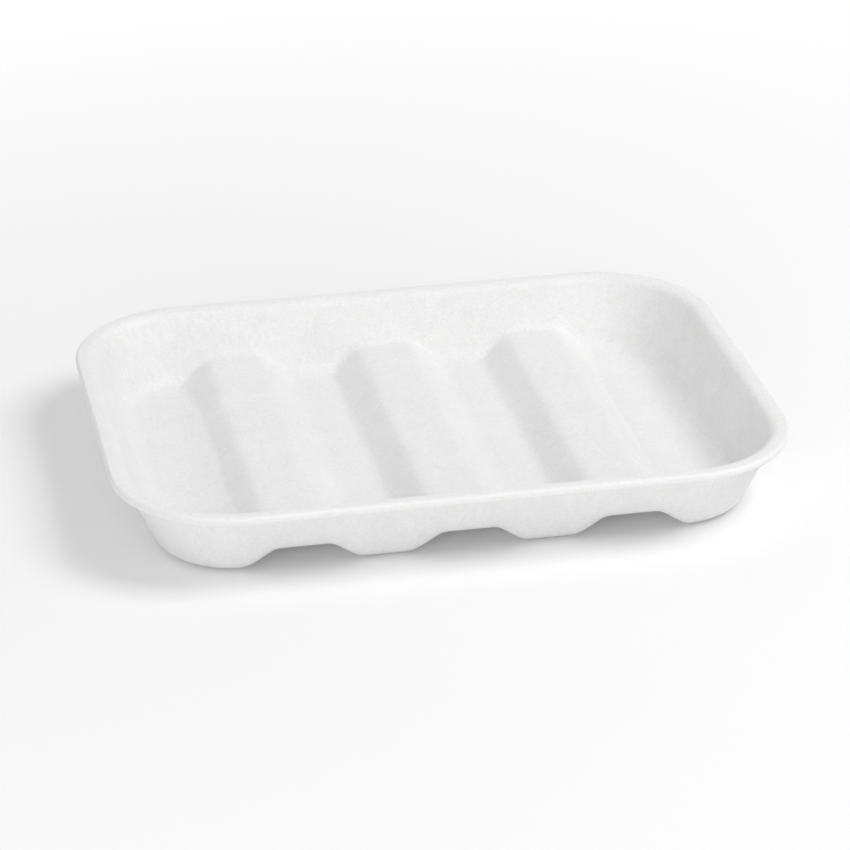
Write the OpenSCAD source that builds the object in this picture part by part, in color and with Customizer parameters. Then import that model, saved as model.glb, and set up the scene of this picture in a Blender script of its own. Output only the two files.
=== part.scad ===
// Foam meat tray: one piece pressed from foam sheet, so its wall is thin and both faces run side by side.
// Millimetres, +Z up. The origin is the middle of the base, on the surface that the tray stands on.
// The section is drawn once, as a distance out from a corner's axis against height. It is extruded along
// the four sides and turned through a quarter circle at the four corners.

/* [Overall] */
// Length over the rim, along X
tray_l = 241; // [220:1:300]
// Width over the rim, along Y
tray_w = 178; // [160:1:220]
// Height from the base to the top of the rim
tray_h = 29; // [24:1:36]
// Radius of the rim's corners, seen from above
corner_r = 42; // [36:1:48]

/* [Rim] */
// Width of the rim, from its cut edge to the line of the inner wall
rim_w = 6; // [5.5:0.5:8]
// Thickness of the rim
rim_t = 3.2; // [2.8:0.1:3.6]
// Radius on both corners of the rim's cut edge
edge_r = 1.3; // [0.5:0.1:1.3]
// Radius over the lip, where the rim turns down into the well
lip_r = 4.5; // [3:0.5:5]
// Radius under the rim, where it meets the outside of the wall
under_r = 2; // [1:0.5:2]

/* [Wall] */
// Lean of the wall from the vertical, in degrees
wall_lean = 24; // [22:1:30]
// Thickness of the wall, square to its faces
wall_t = 2.4; // [1.8:0.1:3]

/* [Floor] */
// Thickness of the floor
floor_t = 3.5; // [2.8:0.1:4]
// Radius between wall and floor, inside the well
well_r = 8; // [5:0.5:10]
// Radius between wall and base, outside
base_r = 7; // [4:0.5:9]

/* [Ribs] */
// Number of ribs across the floor
rib_count = 3; // [1:1:3]
// Distance between the middles of neighbouring ribs
rib_pitch = 58; // [52:0.5:60]
// Width of a rib at its foot
rib_w = 42; // [34:0.5:44]
// Width of a rib's flat crest, before its corners are rounded
crest_w = 20; // [12:1:24]
// Height of a rib above the floor, and depth of the groove beneath it
rib_h = 8.5; // [5:0.5:9]
// Radius at the foot and at the crest of a rib
rib_r = 6; // [3:0.5:7]

/* [Hidden] */
$fn = 96;
// Largest turn that one straight step of a rounded corner makes, in degrees
ARC_STEP = 9;
// How far a cutting shape runs past the face that it opens
OVERRUN = 1;
// Half the floor's thickness: a rib's solid starts inside the floor
RIB_ROOT = floor_t / 2;
// Width of a wall's slice in the level plane
WALL_ACROSS = wall_t / cos(wall_lean);
// Straight stretch between two corners, along X and along Y
STRAIGHT_X = tray_l - 2 * corner_r;
STRAIGHT_Y = tray_w - 2 * corner_r;

// Distance of the wall's inner face from the corner's axis at a height
function inner(z) = corner_r - rim_w - (tray_h - z) * tan(wall_lean);

// Distance of the wall's outer face from the corner's axis at a height
function outer(z) = inner(z) + WALL_ACROSS;

function unit(v) = v / norm(v);

// Points of an arc of radius r that rounds the corner b between the neighbours a and c
function corner_arc(a, b, c, r) =
    let (
        back = unit(a - b),
        ahead = unit(c - b),
        half = acos(back * ahead) / 2,
        middle = b + unit(back + ahead) * r / sin(half),
        start = b + back * r / tan(half) - middle,
        end = b + ahead * r / tan(half) - middle,
        way = sign(cross(start, end)),
        turn = 180 - 2 * half,
        steps = ceil(turn / ARC_STEP)
    )
    [for (i = [0:steps]) let (t = way * turn * i / steps)
        middle + [start.x * cos(t) - start.y * sin(t), start.x * sin(t) + start.y * cos(t)]];

// Outline whose corners are given as [x, y, radius]; a radius of 0 keeps the corner sharp
function rounded(corners) =
    let (last = len(corners) - 1, flat = [for (p = corners) [p.x, p.y]])
    [for (i = [0:last])
        each corners[i].z == 0
            ? [flat[i]]
            : corner_arc(flat[i == 0 ? last : i - 1], flat[i], flat[i == last ? 0 : i + 1], corners[i].z)];

// Section of the sheet: base, outside of the wall, rim, inside of the wall and floor
function sheet_section() = rounded([
    [0, 0, 0],
    [outer(0), 0, base_r],
    [outer(tray_h - rim_t), tray_h - rim_t, under_r],
    [corner_r, tray_h - rim_t, edge_r],
    [corner_r, tray_h, edge_r],
    [inner(tray_h), tray_h, lip_r],
    [inner(floor_t), floor_t, well_r],
    [0, floor_t, 0]
]);

// Section of the space inside the middle of the wall, which ends the ribs within the wall
function core_section() = [
    [0, RIB_ROOT],
    [outer(RIB_ROOT) - WALL_ACROSS / 2, RIB_ROOT],
    [outer(tray_h) - WALL_ACROSS / 2, tray_h],
    [0, tray_h]
];

// Section of a bar that follows a rib's rounded outline above the level z, closed off at the level bottom
function rib_section(z, bottom) =
    let (
        crest = [
            [-tray_l, z, 0],
            [-rib_w / 2, z, rib_r],
            [-crest_w / 2, z + rib_h, rib_r],
            [crest_w / 2, z + rib_h, rib_r],
            [rib_w / 2, z, rib_r],
            [tray_l, z, 0]
        ],
        line = rounded(crest),
        bump = [for (i = [1:len(line) - 2]) line[i]]
    )
    concat(bump, [[bump[len(bump) - 1].x, bottom], [bump[0].x, bottom]]);

// Sweeps a section round the tray, and fills the middle from the level low to the level high
module swept(section, low, high) {
    for (side = [0, 180]) {
        rotate(side)
            translate([STRAIGHT_X / 2, 0, 0])
                rotate([90, 0, 0])
                    linear_extrude(STRAIGHT_Y, center = true)
                        polygon(section);
        rotate(side + 90)
            translate([STRAIGHT_Y / 2, 0, 0])
                rotate([90, 0, 0])
                    linear_extrude(STRAIGHT_X, center = true)
                        polygon(section);
    }
    for (quarter = [[1, 1, 0], [-1, 1, 90], [-1, -1, 180], [1, -1, 270]])
        translate([quarter.x * STRAIGHT_X / 2, quarter.y * STRAIGHT_Y / 2, 0])
            rotate(quarter.z)
                rotate_extrude(angle = 90)
                    polygon(section);
    translate([-STRAIGHT_X / 2, -STRAIGHT_Y / 2, low])
        cube([STRAIGHT_X, STRAIGHT_Y, high - low]);
}

// One bar across the tray at each rib's place
module rib_bars(z, bottom) {
    for (i = [0:rib_count - 1])
        translate([(i - (rib_count - 1) / 2) * rib_pitch, 0, 0])
            rotate([90, 0, 0])
                linear_extrude(tray_w, center = true)
                    polygon(rib_section(z, bottom));
}

// The sheet alone, with a level floor
module sheet() {
    swept(sheet_section(), 0, floor_t);
}

// The raised side of the ribs, which runs into the two long walls
module ribs() {
    intersection() {
        swept(core_section(), RIB_ROOT, tray_h);
        rib_bars(floor_t, RIB_ROOT);
    }
}

// The hollow side of the ribs, open as arches in the foot of both long walls
module grooves() {
    rib_bars(0, -OVERRUN);
}

module tray() {
    color("white")
        difference() {
            union() {
                sheet();
                ribs();
            }
            grooves();
        }
}

tray();
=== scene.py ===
"""Foam meat tray: the dressed part, a plain studio round it and the camera."""

import logging
import math
from collections.abc import Callable, Iterator
from dataclasses import dataclass, field
from enum import Enum

import bmesh
import bpy
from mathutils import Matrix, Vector


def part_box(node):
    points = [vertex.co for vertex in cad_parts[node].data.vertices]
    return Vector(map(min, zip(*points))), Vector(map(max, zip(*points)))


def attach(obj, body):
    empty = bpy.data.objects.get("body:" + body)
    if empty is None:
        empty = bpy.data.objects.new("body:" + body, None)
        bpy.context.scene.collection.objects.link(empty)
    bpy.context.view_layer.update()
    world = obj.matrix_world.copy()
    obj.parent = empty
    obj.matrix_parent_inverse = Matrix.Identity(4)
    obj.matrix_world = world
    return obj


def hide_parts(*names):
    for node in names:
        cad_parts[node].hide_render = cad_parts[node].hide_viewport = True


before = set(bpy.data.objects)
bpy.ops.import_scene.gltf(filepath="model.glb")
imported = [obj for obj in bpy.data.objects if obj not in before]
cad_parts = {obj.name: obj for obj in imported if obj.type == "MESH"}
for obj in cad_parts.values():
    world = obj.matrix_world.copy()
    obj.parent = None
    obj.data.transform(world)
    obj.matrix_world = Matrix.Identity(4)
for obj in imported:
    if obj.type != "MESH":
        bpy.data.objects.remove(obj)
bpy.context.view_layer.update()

LOG = logging.getLogger("foam_tray")
MM = 0.001
TOUCH = 1e-6
TINY = 1e-7
LEVEL = 0.99
WHITE = (1.0, 1.0, 1.0, 1.0)
Colour = tuple[float, float, float, float]


class Side(Enum):
    """The two faces of the sheet, as the sign of their normal's height."""

    UPPER = 1
    LOWER = -1


@dataclass(frozen=True)
class Signal:
    """A number that varies over a surface: one output socket of a shader node."""

    bench: "Bench"
    socket: bpy.types.NodeSocket

    def __add__(self, other: "Signal | float") -> "Signal":
        """Sum of two signals."""
        return self.bench.maths("ADD", self, other)

    __radd__ = __add__

    def __sub__(self, other: "Signal | float") -> "Signal":
        """Difference of two signals."""
        return self.bench.maths("SUBTRACT", self, other)

    def __rsub__(self, other: "Signal | float") -> "Signal":
        """Difference of a number and this signal."""
        return self.bench.maths("SUBTRACT", other, self)

    def __mul__(self, other: "Signal | float") -> "Signal":
        """Product of two signals."""
        return self.bench.maths("MULTIPLY", self, other)

    __rmul__ = __mul__

    def __truediv__(self, other: "Signal | float") -> "Signal":
        """Ratio of two signals."""
        return self.bench.maths("DIVIDE", self, other)

    def __abs__(self) -> "Signal":
        """Size of the signal without its sign."""
        return self.bench.maths("ABSOLUTE", self)

    def clamped(self) -> "Signal":
        """The signal held between 0 and 1."""
        return self.bench.maths("ADD", self, 0.0, use_clamp=True)

    def at_least(self, floor: float) -> "Signal":
        """The larger of the signal and a number."""
        return self.bench.maths("MAXIMUM", self, floor)

    def root(self) -> "Signal":
        """Square root of the signal."""
        return self.bench.maths("SQRT", self)


class Bench:
    """Builds the nodes of one material or world."""

    def __init__(self, tree: bpy.types.NodeTree) -> None:
        """Empties the tree, so that every node in it is made here.

        Args:
            tree: The node tree to build in.
        """
        self.tree = tree
        tree.nodes.clear()

    def node(self, kind: str, settings: dict | None = None, inputs: dict | None = None) -> bpy.types.Node:
        """Adds one node.

        Args:
            kind: Blender's name of the node type.
            settings: Properties of the node, which are set first.
            inputs: Values or links of its sockets, by socket name or number.

        Returns:
            The new node.
        """
        made = self.tree.nodes.new(kind)
        for name, value in (settings or {}).items():
            setattr(made, name, value)
        for name, value in (inputs or {}).items():
            socket = made.inputs[name]
            if isinstance(value, Signal):
                self.tree.links.new(value.socket, socket)
            elif isinstance(value, bpy.types.NodeSocket):
                self.tree.links.new(value, socket)
            else:
                socket.default_value = value
        return made

    def maths(self, operation: str, *values: Signal | float, use_clamp: bool = False) -> Signal:
        """Adds one Math node.

        Args:
            operation: The node's operation.
            values: Its one or two numbers.
            use_clamp: Whether the result is held between 0 and 1.

        Returns:
            The node's result.
        """
        made = self.node(
            "ShaderNodeMath",
            {"operation": operation, "use_clamp": use_clamp},
            dict(enumerate(values)),
        )
        return Signal(self, made.outputs[0])

    def signal(self, node: bpy.types.Node, name: str | int = 0) -> Signal:
        """One output of a node, as a signal."""
        return Signal(self, node.outputs[name])

    def noise(self, where: bpy.types.NodeSocket, size: float, detail: float, rough: float = 0.5) -> Signal:
        """Adds a noise field.

        Args:
            where: The coordinates that it follows.
            size: The width of one blotch, in metres.
            detail: How many finer layers it has.
            rough: How strong the finer layers are.

        Returns:
            A signal that stays near 0.5.
        """
        made = self.node(
            "ShaderNodeTexNoise",
            {"noise_dimensions": "3D"},
            {"Vector": where, "Scale": 1.0 / size, "Detail": detail, "Roughness": rough},
        )
        return self.signal(made, "Fac")

    def cells(self, where: bpy.types.NodeSocket, size: float) -> Signal:
        """Adds a field of rounded cells.

        Args:
            where: The coordinates that it follows.
            size: The width of one cell, in metres.

        Returns:
            The distance from each cell's middle, in cell widths.
        """
        made = self.node(
            "ShaderNodeTexVoronoi",
            {"feature": "F1", "voronoi_dimensions": "3D"},
            {"Vector": where, "Scale": 1.0 / size},
        )
        return self.signal(made, "Distance")

    def blend(
        self, amount: Signal, low: Colour | bpy.types.NodeSocket, high: Colour | bpy.types.NodeSocket
    ) -> bpy.types.NodeSocket:
        """Adds a mix of two colours.

        Args:
            amount: 0 for the first colour and 1 for the second.
            low: The first colour.
            high: The second colour.

        Returns:
            The mixed colour's socket.
        """
        made = self.node(
            "ShaderNodeMix",
            {"data_type": "RGBA", "blend_type": "MIX", "clamp_factor": True},
            {0: amount, 6: low, 7: high},
        )
        return made.outputs[2]

    def bump(self, relief: Signal) -> bpy.types.NodeSocket:
        """Adds a bump.

        Args:
            relief: The height of the surface, in millimetres.

        Returns:
            The normal's socket.
        """
        made = self.node("ShaderNodeBump", None, {"Strength": 1.0, "Distance": MM, "Height": relief})
        return made.outputs["Normal"]


@dataclass(frozen=True)
class Corner:
    """A corner of a section: its distance along, its height, and the radius that rounds it."""

    inset: float
    height: float
    radius: float = 0.0

    def spot(self) -> Vector:
        """The corner's place in its section."""
        return Vector((self.inset, self.height))


@dataclass(frozen=True)
class Section:
    """A line through corners, each rounded by its own radius."""

    corners: tuple[Corner, ...]
    step: float = math.radians(7.0)

    def points(self) -> list[Vector]:
        """Follows the rounded line.

        Returns:
            Places along it, from its first corner to its last.
        """
        line = [self.corners[0].spot()]
        for before, corner, after in zip(self.corners, self.corners[1:], self.corners[2:]):
            line.extend(self._arc(before.spot(), corner, after.spot()))
        line.append(self.corners[-1].spot())
        return line

    def _arc(self, before: Vector, corner: Corner, after: Vector) -> Iterator[Vector]:
        """Places along the arc that rounds one corner.

        Args:
            before: The corner ahead of it on the line.
            corner: The corner to round.
            after: The corner that follows.

        Yields:
            Places from one end of the arc to the other.
        """
        spot = corner.spot()
        back = (before - spot).normalized()
        ahead = (after - spot).normalized()
        half = back.angle(ahead) / 2
        middle = spot + (back + ahead).normalized() * corner.radius / math.sin(half)
        start = spot + back * corner.radius / math.tan(half) - middle
        turn = start.angle_signed(spot + ahead * corner.radius / math.tan(half) - middle)
        steps = max(2, math.ceil(abs(turn) / self.step))
        for i in range(steps + 1):
            angle = -turn * i / steps
            yield middle + Vector(
                (
                    start.x * math.cos(angle) - start.y * math.sin(angle),
                    start.x * math.sin(angle) + start.y * math.cos(angle),
                )
            )


@dataclass(frozen=True)
class FoamFinish:
    """White closed-cell foam sheet: a satin skin, faint blotches, and open cells along the cut edge."""

    skin: Colour = (0.895, 0.895, 0.892, 1.0)
    thin_skin: Colour = (0.815, 0.816, 0.815, 1.0)
    cut: Colour = (0.89, 0.89, 0.887, 1.0)
    cell: float = 0.6 * MM
    grain: float = 0.9 * MM
    streak: float = 2.2 * MM
    streak_stretch: float = 0.07
    blotch: float = 14.0 * MM
    roll: float = 45.0 * MM
    cut_start: float = 0.75 * MM
    cut_fade: float = 0.35 * MM

    def material(self, half_length: float, half_width: float, corner: float) -> bpy.types.Material:
        """Builds the material.

        Args:
            half_length: Half the rim's length, for the place of the cut edge.
            half_width: Half the rim's width.
            corner: The rim's corner radius.

        Returns:
            The material.
        """
        made = bpy.data.materials.new("foam")
        made.use_nodes = True
        bench = Bench(made.node_tree)
        where = bench.node("ShaderNodeTexCoord").outputs["Object"]
        edge = self._cut_edge(bench, where, half_length, half_width, corner)
        stretch = {"Vector": where, "Scale": (1.0, 1.0, self.streak_stretch)}
        drawn = bench.node("ShaderNodeMapping", {"vector_type": "POINT"}, stretch).outputs["Vector"]
        blotches = bench.noise(where, self.blotch, 2.0)
        cells = bench.cells(where, self.cell)
        grain = bench.noise(where, self.grain, 2.0)
        streaks = bench.noise(drawn, self.streak, 2.0)
        rolling = bench.noise(where, self.roll, 1.0)
        mottle = (blotches - 0.5) * 0.7 + (streaks - 0.5) * 0.9 + (grain - 0.5) * 1.9
        tone = (mottle + cells * 0.4 + 0.2).clamped()
        plain = bench.blend(tone, self.skin, self.thin_skin)
        colour = bench.blend(edge, plain, self.cut)
        gloss = (0.48 + (blotches - 0.5) * 0.16 + (streaks - 0.5) * 0.14 + edge * 0.3).clamped()
        relief = rolling * 0.4 + grain * 0.1 + streaks * 0.08 - cells * (edge * 0.12 + 0.015)
        shader = bench.node(
            "ShaderNodeBsdfPrincipled",
            None,
            {
                "Base Color": colour,
                "Roughness": gloss,
                "IOR": 1.5,
                "Specular IOR Level": 0.4,
                "Subsurface Weight": 0.35,
                "Subsurface Radius": (1.0, 1.0, 0.96),
                "Subsurface Scale": 1.6 * MM,
                "Normal": bench.bump(relief),
            },
        )
        bench.node("ShaderNodeOutputMaterial", None, {"Surface": shader.outputs[0]})
        return made

    def _cut_edge(
        self, bench: Bench, where: bpy.types.NodeSocket, half_length: float, half_width: float, corner: float
    ) -> Signal:
        """Finds the rim's cut edge from its distance to the rim's outline.

        Args:
            bench: The material's nodes.
            where: Object coordinates.
            half_length: Half the rim's length.
            half_width: Half the rim's width.
            corner: The rim's corner radius.

        Returns:
            1 on the cut edge and 0 on the skin.
        """
        parts = bench.node("ShaderNodeSeparateXYZ", None, {"Vector": where})
        along = (abs(bench.signal(parts, "X")) - (half_length - corner)).at_least(0.0)
        across = (abs(bench.signal(parts, "Y")) - (half_width - corner)).at_least(0.0)
        inset = corner - (along * along + across * across).root()
        return ((self.cut_start - inset) / self.cut_fade).clamped()


@dataclass
class FoamTray:
    """The pressed sheet: rim, walls, rounded corners and ribbed floor in one piece."""

    low: Vector
    high: Vector
    finish: FoamFinish = field(default_factory=FoamFinish)
    corner: float = 42.0 * MM
    rim: float = 6.0 * MM
    rim_thick: float = 3.2 * MM
    edge_round: float = 1.3 * MM
    lip_round: float = 4.5 * MM
    under_round: float = 2.0 * MM
    lean: float = math.radians(24.0)
    wall_thick: float = 2.4 * MM
    floor_thick: float = 3.5 * MM
    well_round: float = 8.0 * MM
    base_round: float = 7.0 * MM
    rib_count: int = 3
    rib_pitch: float = 58.0 * MM
    rib_foot: float = 42.0 * MM
    rib_crest: float = 20.0 * MM
    rib_height: float = 8.5 * MM
    rib_round: float = 6.0 * MM
    corner_steps: int = 32
    wall_rows: int = 12
    columns: int = 94
    rows: int = 30
    merge_power: float = 3.0
    merge_reach: float = 0.8
    wave: float = 55.0 * MM
    wave_height: float = 0.5 * MM
    piece: bpy.types.Object | None = None

    @property
    def length(self) -> float:
        """Length over the rim."""
        return self.high.x - self.low.x

    @property
    def width(self) -> float:
        """Width over the rim."""
        return self.high.y - self.low.y

    @property
    def height(self) -> float:
        """Height of the rim's top."""
        return self.high.z

    def build(self) -> bpy.types.Object:
        """Models the tray from a slab and dresses it.

        Returns:
            The finished piece.
        """
        self._rim_slab()
        self._press(Side.UPPER, self._upper_section())
        self._press(Side.LOWER, self._lower_section())
        self._cut_columns()
        self._press_ribs()
        self._warp()
        self._finish_mesh()
        self.piece.data.materials.append(self.finish.material(self.length / 2, self.width / 2, self.corner))
        return self.piece

    def _inner_inset(self, height: float) -> float:
        """Distance of the wall's inner face from the rim's edge at a height."""
        return self.rim + (self.height - height) * math.tan(self.lean)

    def _outer_inset(self, height: float) -> float:
        """Distance of the wall's outer face from the rim's edge at a height."""
        return self._inner_inset(height) - self.wall_thick / math.cos(self.lean)

    def _upper_section(self) -> Section:
        """Draws the upper face's section.

        Returns:
            The line from the cut edge over the lip and down to the floor.
        """
        top = self.height
        floor_start = self._inner_inset(self.floor_thick)
        reach = self.well_round * math.tan((math.pi / 2 - self.lean) / 2)
        return Section(
            (
                Corner(0.0, top - self.edge_round),
                Corner(0.0, top, self.edge_round),
                Corner(self._inner_inset(top), top, self.lip_round),
                Corner(floor_start, self.floor_thick, self.well_round),
                Corner(floor_start + reach, self.floor_thick),
            )
        )

    def _lower_section(self) -> Section:
        """Draws the lower face's section.

        Returns:
            The line from the cut edge under the rim and down to the base.
        """
        under = self.height - self.rim_thick
        base_start = self._outer_inset(0.0)
        reach = self.base_round * math.tan((math.pi / 2 - self.lean) / 2)
        return Section(
            (
                Corner(0.0, under + self.edge_round),
                Corner(0.0, under, self.edge_round),
                Corner(self._outer_inset(under), under, self.under_round),
                Corner(base_start, 0.0, self.base_round),
                Corner(base_start + reach, 0.0),
            )
        )

    def _rim_slab(self) -> None:
        """Adds the thin slab that the rim's cut edge is made from, and rounds its four upright corners."""
        bpy.ops.object.select_all(action="DESELECT")
        thick = self.rim_thick - 2 * self.edge_round
        bpy.ops.mesh.primitive_cube_add(
            size=1.0,
            location=(0.0, 0.0, self.height - self.rim_thick / 2),
            scale=(self.length, self.width, thick),
        )
        self.piece = bpy.context.object
        self.piece.name = "foam_tray"
        bpy.ops.object.transform_apply(location=True, rotation=True, scale=True)
        bpy.ops.object.mode_set(mode="EDIT")
        self._select_edges(lambda a, b: abs(a.z - b.z) > thick / 2)
        bpy.ops.mesh.bevel(
            offset=self.corner, offset_type="OFFSET", segments=self.corner_steps, affect="EDGES", profile=0.5
        )
        bpy.ops.object.mode_set(mode="OBJECT")

    def _select_edges(self, wanted: Callable[[Vector, Vector], bool]) -> None:
        """Selects edges in edit mode by their place.

        Args:
            wanted: Says of an edge's two ends whether it is wanted.
        """
        bpy.ops.mesh.select_mode(type="EDGE")
        bpy.ops.mesh.select_all(action="DESELECT")
        mesh = bmesh.from_edit_mesh(self.piece.data)
        for edge in mesh.edges:
            edge.select = wanted(edge.verts[0].co, edge.verts[1].co)
        mesh.select_flush_mode()
        bmesh.update_edit_mesh(self.piece.data)

    def _select_end_face(self, side: Side) -> None:
        """Selects the one large level face that ends the slab on that side.

        Args:
            side: The upper or the lower face.
        """
        bpy.ops.mesh.select_mode(type="FACE")
        bpy.ops.mesh.select_all(action="DESELECT")
        mesh = bmesh.from_edit_mesh(self.piece.data)
        level = [face for face in mesh.faces if face.normal.z * side.value > LEVEL]
        largest = max(level, key=lambda face: face.calc_area())
        largest.select = True
        mesh.select_flush_mode()
        bmesh.update_edit_mesh(self.piece.data)

    def _press(self, side: Side, section: Section) -> None:
        """Presses one face down by insets that follow a section.

        Args:
            side: The face to press.
            section: The line that the insets follow.
        """
        bpy.ops.object.mode_set(mode="EDIT")
        self._select_end_face(side)
        line = self._with_wall_rows(section.points())
        for start, end in zip(line, line[1:]):
            move = end - start
            if move.length < TINY:
                continue
            inward = max(move.x, 0.0)
            deeper = move.y * side.value
            bpy.ops.mesh.inset(thickness=inward, depth=deeper, use_even_offset=True, use_boundary=True)
        bpy.ops.object.mode_set(mode="OBJECT")

    def _with_wall_rows(self, line: list[Vector]) -> list[Vector]:
        """Adds rows of points along the wall's long straight stretch.

        Args:
            line: The section's points.

        Returns:
            The points with the rows added.
        """
        rows = [line[0]]
        for start, end in zip(line, line[1:]):
            count = self.wall_rows if (end - start).length > self.height / 4 else 1
            rows.extend(start.lerp(end, i / count) for i in range(1, count + 1))
        return rows

    def _cut_columns(self) -> None:
        """Cuts the mesh across and along, so that the ribs and the slight waves have points to move."""
        straight_x = self.length / 2 - self.corner
        straight_y = self.width / 2 - self.corner
        bpy.ops.object.mode_set(mode="EDIT")
        for i in range(1, self.columns):
            self._cut((straight_x * (2 * i / self.columns - 1), 0.0, 0.0), (1.0, 0.0, 0.0))
        for i in range(1, self.rows):
            self._cut((0.0, straight_y * (2 * i / self.rows - 1), 0.0), (0.0, 1.0, 0.0))
        bpy.ops.object.mode_set(mode="OBJECT")

    def _cut(self, place: tuple[float, float, float], normal: tuple[float, float, float]) -> None:
        """Cuts the whole mesh by one plane and keeps both halves."""
        bpy.ops.mesh.select_all(action="SELECT")
        bpy.ops.mesh.bisect(
            plane_co=place, plane_no=normal, clear_inner=False, clear_outer=False, threshold=TOUCH
        )

    def _rib_section(self) -> Section:
        """Draws one side of a rib.

        Returns:
            The height above the level floor against the distance from the rib's middle.
        """
        return Section(
            (
                Corner(0.0, self.rib_height),
                Corner(self.rib_crest / 2, self.rib_height, self.rib_round),
                Corner(self.rib_foot / 2, 0.0, self.rib_round),
                Corner(self.length, 0.0),
            )
        )

    def _rib_rise(self, x: float, line: list[Vector]) -> float:
        """Height of the ribs above the level floor at a place along the tray.

        Args:
            x: The place.
            line: Points of one side of a rib.

        Returns:
            The height.
        """
        middles = [(i - (self.rib_count - 1) / 2) * self.rib_pitch for i in range(self.rib_count)]
        off = min(abs(x - middle) for middle in middles)
        start, end = next(pair for pair in zip(line, line[1:]) if pair[0].x <= off <= pair[1].x)
        share = (off - start.x) / (end.x - start.x)
        return start.lerp(end, share).y

    def _press_ribs(self) -> None:
        """Raises the ribs on both faces, and lets them run out up the two long walls."""
        group = self.piece.vertex_groups.new(name="ribs")
        line = self._rib_section().points()
        reach = self.height * self.merge_reach
        for vertex in self.piece.data.vertices:
            rise = self._rib_rise(vertex.co.x, line)
            level = self.floor_thick if vertex.normal.z > 0 else 0.0
            above = max(vertex.co.z - level, 0.0)
            if rise <= 0.0 or above >= reach:
                continue
            merged = (above**self.merge_power + rise**self.merge_power) ** (1 / self.merge_power)
            fade = 1 - (above / reach) ** 2
            group.add([vertex.index], (merged - above) * fade / self.rib_height, "REPLACE")
        self._displace("ribs", "Z", self.rib_height, 0.0, None)

    def _displace(
        self, group: str, direction: str, strength: float, middle: float, texture: bpy.types.Texture | None
    ) -> None:
        """Moves the vertices of a group and applies the move.

        Args:
            group: The vertex group, whose weights scale the move.
            direction: The axis or NORMAL.
            strength: The largest move, in metres.
            middle: The texture's value that moves nothing.
            texture: The field that shapes the move, or None for an even one.
        """
        bpy.context.view_layer.objects.active = self.piece
        modifier = self.piece.modifiers.new(group, "DISPLACE")
        modifier.vertex_group = group
        modifier.direction = direction
        modifier.strength = strength
        modifier.mid_level = middle
        if texture is not None:
            modifier.texture = texture
            modifier.texture_coords = "LOCAL"
        bpy.ops.object.modifier_apply(modifier=modifier.name)

    def _warp(self) -> None:
        """Gives the walls and rim the slight unevenness of pressed foam, and leaves the base flat."""
        waves = bpy.data.textures.new("slow_waves", "CLOUDS")
        waves.noise_scale = self.wave
        waves.noise_depth = 1
        group = self.piece.vertex_groups.new(name="warp")
        for vertex in self.piece.data.vertices:
            group.add([vertex.index], min(max(vertex.co.z / self.height, 0.0), 1.0), "REPLACE")
        self._displace("warp", "Z", self.wave_height, 1.0, waves)

    def _finish_mesh(self) -> None:
        """Merges what lies together and shades the sheet smooth."""
        bpy.ops.object.select_all(action="DESELECT")
        self.piece.select_set(True)
        bpy.context.view_layer.objects.active = self.piece
        bpy.ops.object.mode_set(mode="EDIT")
        bpy.ops.mesh.select_all(action="SELECT")
        bpy.ops.mesh.remove_doubles(threshold=TOUCH)
        bpy.ops.mesh.quads_convert_to_tris(quad_method="BEAUTY", ngon_method="BEAUTY")
        bpy.ops.object.mode_set(mode="OBJECT")
        bpy.ops.object.shade_smooth()
        self.piece.vertex_groups.clear()


@dataclass(frozen=True)
class Lamp:
    """A soft square lamp."""

    name: str
    place: tuple[float, float, float]
    size: float
    power: float

    def light(self, aim: Vector) -> None:
        """Adds the lamp.

        Args:
            aim: The place that it points at.
        """
        data = bpy.data.lights.new(self.name, "AREA")
        data.shape = "SQUARE"
        data.size = self.size
        data.energy = self.power
        lamp = bpy.data.objects.new(self.name, data)
        bpy.context.scene.collection.objects.link(lamp)
        lamp.location = self.place
        lamp.rotation_euler = (aim - lamp.location).to_track_quat("-Z", "Y").to_euler()


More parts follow.
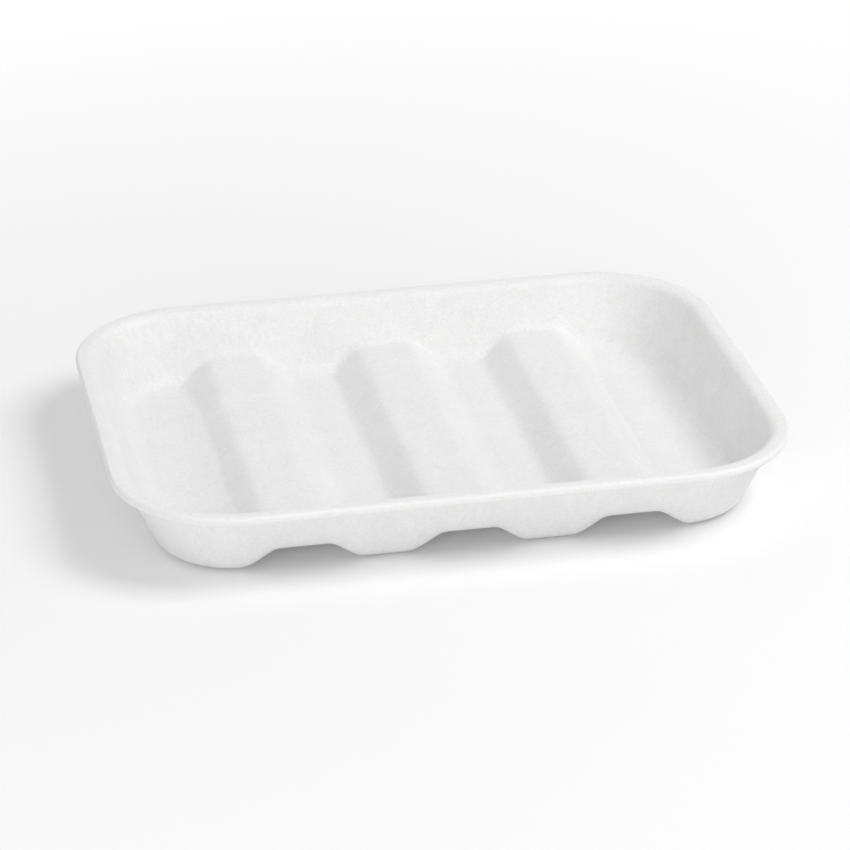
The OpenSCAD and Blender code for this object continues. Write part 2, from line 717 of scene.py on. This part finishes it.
@dataclass(frozen=True)
class Studio:
    """White floor, white surround, soft lamps and the camera."""

    azimuth: float = math.radians(-12.0)
    elevation: float = math.radians(26.0)
    distance: float = 1.25
    lens: float = 146.0
    sensor: float = 36.0
    clip_start: float = 0.01
    aim: tuple[float, float, float] = (0.0, 0.0, 0.013)
    sky: float = 0.46
    lift: float = 0.08
    far_start: float = 0.16
    far_end: float = 0.5
    floor_size: float = 12.0
    floor_drop: float = 0.2 * MM
    floor_colour: Colour = (0.92, 0.92, 0.92, 1.0)
    lamps: tuple[Lamp, ...] = (
        Lamp("key", (0.9, -0.35, 1.3), 0.8, 12.0),
        Lamp("fill", (-0.7, -1.4, 0.4), 1.1, 8.0),
        Lamp("back", (-0.4, 1.3, 1.2), 1.2, 2.8),
    )

    def build(self) -> None:
        """Sets up everything round the object."""
        bpy.context.scene.view_settings.view_transform = "Standard"
        self._surround()
        self._floor()
        for lamp in self.lamps:
            lamp.light(Vector(self.aim))
        self._camera()

    def _seen(self, bench: Bench) -> Signal:
        """Tells rays that show the background itself, straight or by reflection.

        Args:
            bench: The nodes of the floor or the surround.

        Returns:
            1 for such rays and 0 for the rest.
        """
        path = bench.node("ShaderNodeLightPath")
        camera = bench.signal(path, "Is Camera Ray")
        glossy = bench.signal(path, "Is Glossy Ray")
        through = bench.signal(path, "Is Transmission Ray")
        return (camera + glossy + through).clamped()

    def _surround(self) -> None:
        """Lights the object evenly from all round and shows white behind it."""
        world = bpy.data.worlds.new("surround")
        bpy.context.scene.world = world
        world.use_nodes = True
        bench = Bench(world.node_tree)
        seen = self._seen(bench)
        strength = seen * (1.0 - self.sky) + self.sky
        made = bench.node("ShaderNodeBackground", None, {"Color": WHITE, "Strength": strength})
        bench.node("ShaderNodeOutputWorld", None, {"Surface": made.outputs[0]})

    def _floor(self) -> None:
        """Adds the floor, which keeps the object's shadow and turns white away from it."""
        bpy.ops.object.select_all(action="DESELECT")
        bpy.ops.mesh.primitive_plane_add(size=self.floor_size, location=(0.0, 0.0, -self.floor_drop))
        floor = bpy.context.object
        floor.name = "floor"
        made = bpy.data.materials.new("floor")
        made.use_nodes = True
        bench = Bench(made.node_tree)
        where = bench.node("ShaderNodeTexCoord").outputs["Object"]
        away = bench.signal(bench.node("ShaderNodeVectorMath", {"operation": "LENGTH"}, {0: where}), "Value")
        far = ((away - self.far_start) / (self.far_end - self.far_start)).clamped()
        seen = self._seen(bench)
        matt = bench.node("ShaderNodeBsdfDiffuse", None, {"Color": self.floor_colour})
        glow = bench.node("ShaderNodeEmission", None, {"Color": WHITE, "Strength": self.lift})
        white = bench.node("ShaderNodeEmission", None, {"Color": WHITE, "Strength": 1.0})
        lifted = bench.node("ShaderNodeAddShader", None, {0: matt.outputs[0], 1: glow.outputs[0]})
        near = bench.node("ShaderNodeMixShader", None, {0: seen, 1: matt.outputs[0], 2: lifted.outputs[0]})
        ends = {1: near.outputs[0], 2: white.outputs[0]}
        whole = bench.node("ShaderNodeMixShader", None, {0: seen * far, **ends})
        bench.node("ShaderNodeOutputMaterial", None, {"Surface": whole.outputs[0]})
        floor.data.materials.append(made)

    def _camera(self) -> None:
        """Adds the camera where the photograph was taken from."""
        data = bpy.data.cameras.new("camera")
        data.lens = self.lens
        data.sensor_width = self.sensor
        camera = bpy.data.objects.new("camera", data)
        bpy.context.scene.collection.objects.link(camera)
        back = Vector(
            (
                math.sin(self.azimuth) * math.cos(self.elevation),
                -math.cos(self.azimuth) * math.cos(self.elevation),
                math.sin(self.elevation),
            )
        )
        camera.location = Vector(self.aim) + back * self.distance
        camera.rotation_euler = (-back).to_track_quat("-Z", "Y").to_euler()
        data.clip_start = self.clip_start
        bpy.context.scene.camera = camera


def main() -> None:
    """Builds the tray and the studio."""
    logging.basicConfig(level=logging.INFO, format="%(message)s")
    Studio().build()
    low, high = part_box("tray")
    tray = FoamTray(Vector(low), Vector(high)).build()
    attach(tray, "root")
    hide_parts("tray")
    LOG.info("%s: %d faces", tray.name, len(tray.data.polygons))


if __name__ == "__main__":
    main()
